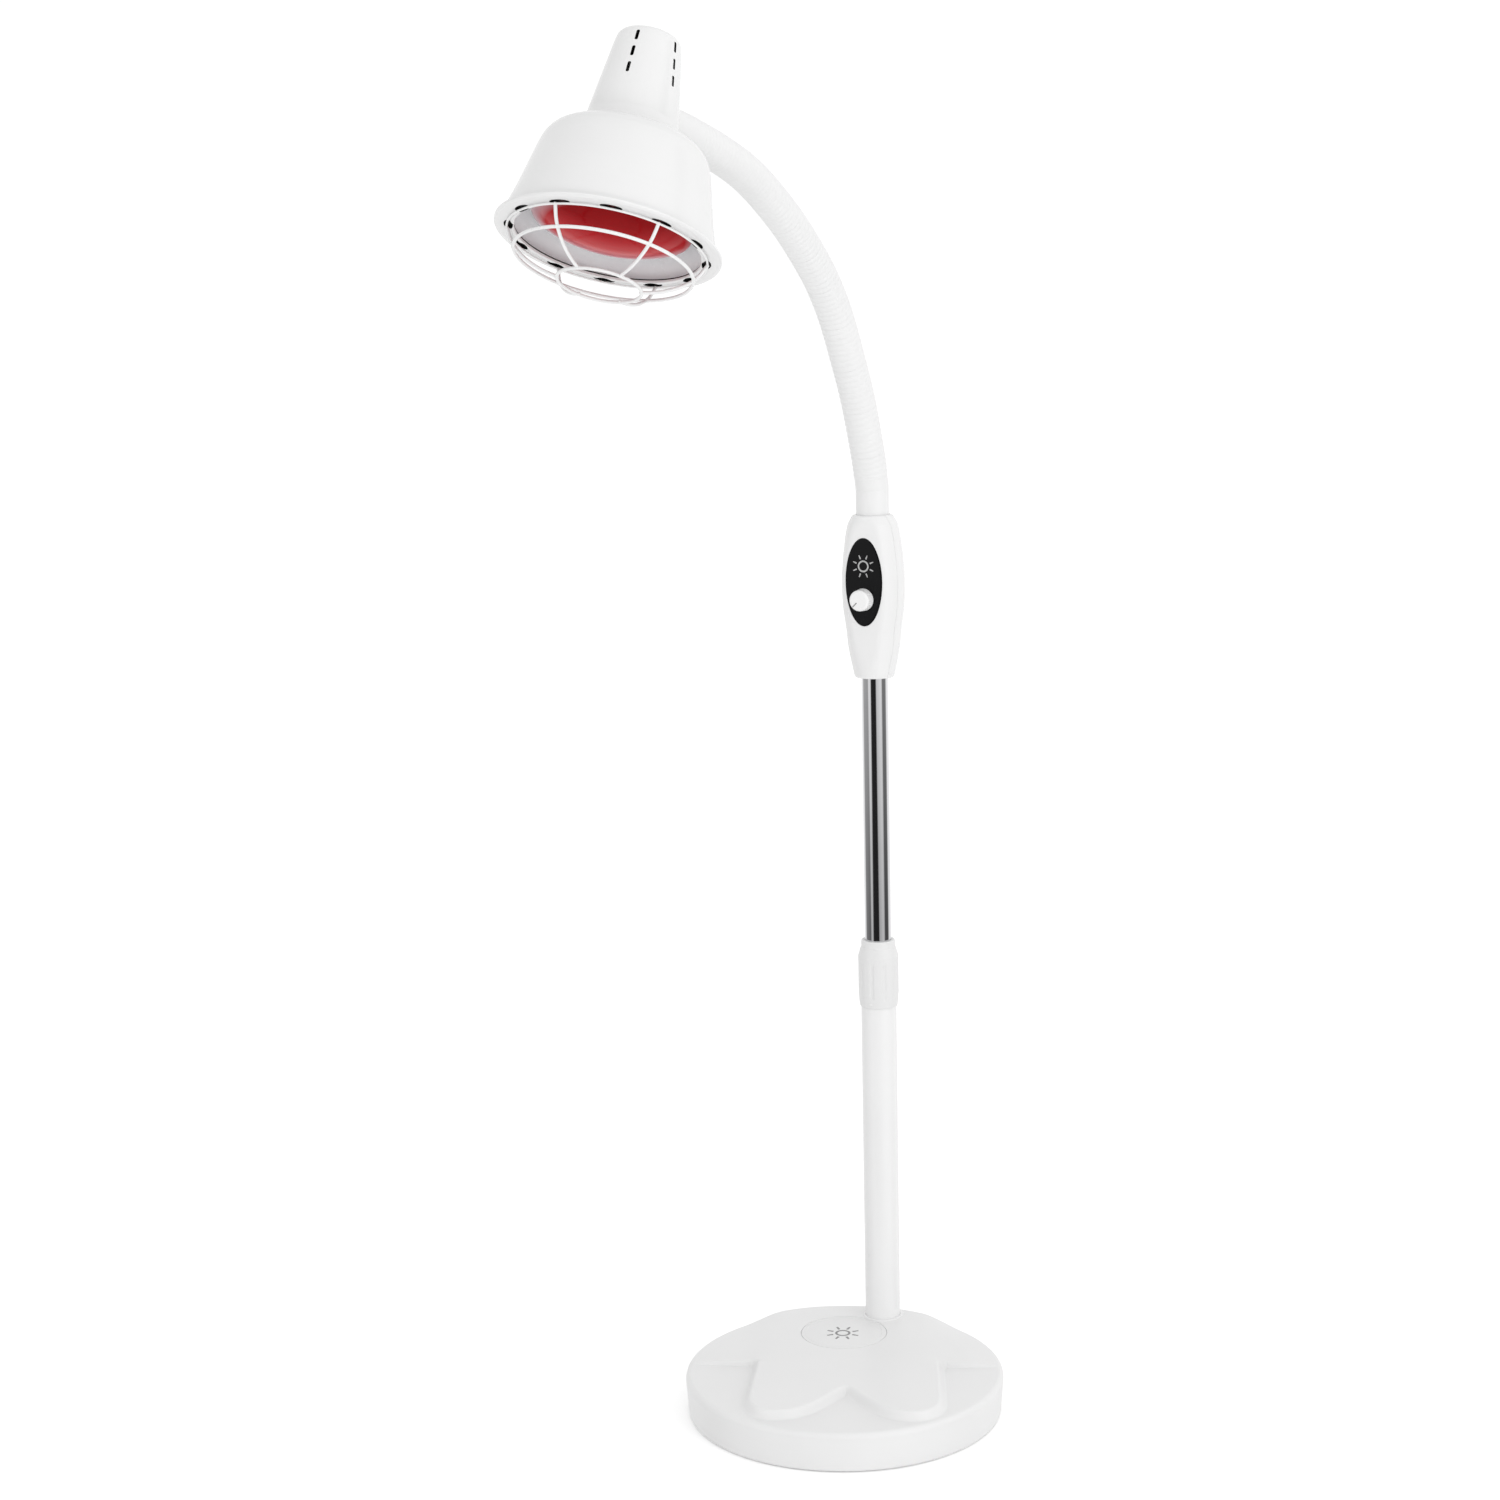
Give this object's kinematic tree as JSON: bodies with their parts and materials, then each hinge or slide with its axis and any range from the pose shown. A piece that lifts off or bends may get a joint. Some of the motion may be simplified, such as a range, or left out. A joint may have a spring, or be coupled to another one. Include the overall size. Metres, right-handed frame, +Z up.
{
  "type": "gooseneck infrared heat lamp",
  "caption": "Floor-standing infrared heat lamp: weighted round base, telescopic pole, dimmer handle, gooseneck and vented conical shade with wire guard.",
  "frame": {"origin": "on the floor, at the centre of the round base's floor mat", "axes": "+Z up; -Y towards the front of the base, where the cusp of the raised plateau points; +X to the right seen from the front"},
  "size_m": [0.39, 0.5557, 1.2466],
  "materials": {
    "white_gloss": "glossy white moulded plastic",
    "white_satin": "satin white moulded plastic",
    "neck_sleeve": "white ribbed flexible sleeve",
    "white_paint": "white powder-painted steel",
    "chrome": "bright chromed tube",
    "zinc_steel": "zinc-plated steel",
    "ballast_iron": "rough cast iron",
    "mat_rubber": "matt black rubber",
    "panel_black": "glossy black plastic",
    "grey_plastic": "grey moulded nylon",
    "laminate": "green circuit laminate",
    "ruby_glass": "dark ruby heat-lamp glass",
    "silvered_glass": "glass silvered on the inside",
    "ceramic": "glazed white porcelain",
    "nickel_brass": "nickelled brass"
  },
  "bodies": {
    "stand": {"base_cover": "white_gloss", "base_badge": "white_satin", "floor_mat": "mat_rubber", "base_plate": "zinc_steel", "plate_screw_1": "zinc_steel", "plate_screw_2": "zinc_steel", "plate_screw_3": "zinc_steel", "plate_screw_4": "zinc_steel", "base_ballast": "ballast_iron", "pole_socket": "zinc_steel", "pole_bolt": "zinc_steel", "flange_bolt": "zinc_steel", "flange_nut": "zinc_steel", "lower_pole": "white_paint", "grip_collet": "grey_plastic"},
    "collar": {"lock_collar": "white_gloss"},
    "bush": {"guide_bush": "grey_plastic"},
    "mast": {"chrome_tube": "chrome", "handle_rear_shell": "white_gloss", "handle_front_shell": "white_gloss", "handle_panel": "panel_black", "handle_screw_1": "zinc_steel", "handle_screw_2": "zinc_steel", "dimmer_body": "grey_plastic", "circuit_board": "laminate", "choke_coil": "grey_plastic", "terminal_block": "white_satin", "neck_cuff": "white_gloss"},
    "knob": {"control_knob": "white_gloss"},
    "link_01": {"neck_link_01": "neck_sleeve"},
    "link_02": {"neck_link_02": "neck_sleeve"},
    "link_03": {"neck_link_03": "neck_sleeve"},
    "link_04": {"neck_link_04": "neck_sleeve"},
    "link_05": {"neck_link_05": "neck_sleeve"},
    "link_06": {"neck_link_06": "neck_sleeve"},
    "link_07": {"neck_link_07": "neck_sleeve"},
    "link_08": {"neck_link_08": "neck_sleeve"},
    "link_09": {"neck_link_09": "neck_sleeve"},
    "link_10": {"neck_link_10": "neck_sleeve"},
    "head": {"neck_link_11": "neck_sleeve", "neck_nut": "nickel_brass", "lamp_shade": "white_gloss", "rim_ring": "white_gloss", "wire_guard": "white_paint", "bulb_bowl": "silvered_glass", "bulb_lens": "ruby_glass", "bulb_cap": "nickel_brass", "lampholder": "ceramic", "holder_strap": "zinc_steel", "holder_screw": "zinc_steel"}
  },
  "joints": [
    {"name": "collar_turn", "type": "hinge", "parent": "stand", "child": "collar", "pos_m": [0.0334, 0.1201, 0.39], "axis": [0, 0, 1], "range_deg": [0, 60]},
    {"name": "height_slide", "type": "slide", "parent": "stand", "child": "bush", "axis": [0, 0, 1], "range_m": [-0.115, 0.15]},
    {"name": "mast_swivel", "type": "hinge", "parent": "bush", "child": "mast", "pos_m": [0.0334, 0.1201, 0.3], "axis": [0, 0, 1], "range_deg": [-150, 150]},
    {"name": "knob_turn", "type": "hinge", "parent": "mast", "child": "knob", "pos_m": [0.02187, 0.0924, 0.7525], "axis": [-0.3843, -0.9232, 0], "range_deg": [0, 270]},
    {"name": "neck_bend", "type": "hinge", "parent": "mast", "child": "link_01", "pos_m": [0.0334, 0.1201, 0.868], "axis": [0.9232, -0.3843, 0], "range_deg": [-21, 12]},
    {"name": "neck_sway", "type": "hinge", "parent": "link_01", "child": "link_02", "pos_m": [0.02706, 0.10488, 0.91095], "axis": [-0.3588, -0.8619, -0.3584], "range_deg": [-12, 12]},
    {"name": "neck_bend_2", "type": "hinge", "parent": "link_02", "child": "link_03", "pos_m": [0.02073, 0.08966, 0.95389], "axis": [0.9232, -0.3843, 0], "range_deg": [-13, 7.43]},
    {"name": "neck_sway_2", "type": "hinge", "parent": "link_03", "child": "link_04", "pos_m": [0.01085, 0.06591, 0.99203], "axis": [-0.3186, -0.7654, -0.5592], "range_deg": [-12, 12]},
    {"name": "neck_bend_3", "type": "hinge", "parent": "link_04", "child": "link_05", "pos_m": [0.00096, 0.04217, 1.03016], "axis": [0.9232, -0.3843, 0], "range_deg": [-16, 9.15]},
    {"name": "neck_sway_3", "type": "hinge", "parent": "link_05", "child": "link_06", "pos_m": [-0.01258, 0.00963, 1.05973], "axis": [-0.247, -0.5934, -0.766], "range_deg": [-12, 12]},
    {"name": "neck_bend_4", "type": "hinge", "parent": "link_06", "child": "link_07", "pos_m": [-0.02612, -0.0229, 1.0893], "axis": [0.9232, -0.3843, 0], "range_deg": [-11.51, 6.58]},
    {"name": "neck_sway_4", "type": "hinge", "parent": "link_07", "child": "link_08", "pos_m": [-0.04166, -0.06022, 1.11125], "axis": [-0.1834, -0.4405, -0.8788], "range_deg": [-12, 12]},
    {"name": "neck_bend_5", "type": "hinge", "parent": "link_08", "child": "link_09", "pos_m": [-0.0572, -0.09754, 1.1332], "axis": [0.9232, -0.3843, 0], "range_deg": [-11.51, 6.58]},
    {"name": "neck_sway_5", "type": "hinge", "parent": "link_09", "child": "link_10", "pos_m": [-0.0741, -0.13815, 1.14664], "axis": [-0.1124, -0.2699, -0.9563], "range_deg": [-12, 12]},
    {"name": "neck_bend_6", "type": "hinge", "parent": "link_10", "child": "head", "pos_m": [-0.09101, -0.17876, 1.16009], "axis": [0.9232, -0.3843, 0], "range_deg": [-6.5, 3.72]}
  ],
  "couplings": [
    {"joint": "neck_bend_2", "follows": "neck_bend", "ratio": 0.61905},
    {"joint": "neck_sway_2", "follows": "neck_sway", "ratio": 1},
    {"joint": "neck_bend_3", "follows": "neck_bend", "ratio": 0.76191},
    {"joint": "neck_sway_3", "follows": "neck_sway", "ratio": 1},
    {"joint": "neck_bend_4", "follows": "neck_bend", "ratio": 0.54762},
    {"joint": "neck_sway_4", "follows": "neck_sway", "ratio": 1},
    {"joint": "neck_bend_5", "follows": "neck_bend", "ratio": 0.54762},
    {"joint": "neck_sway_5", "follows": "neck_sway", "ratio": 1},
    {"joint": "neck_bend_6", "follows": "neck_bend", "ratio": 0.30952}
  ]
}
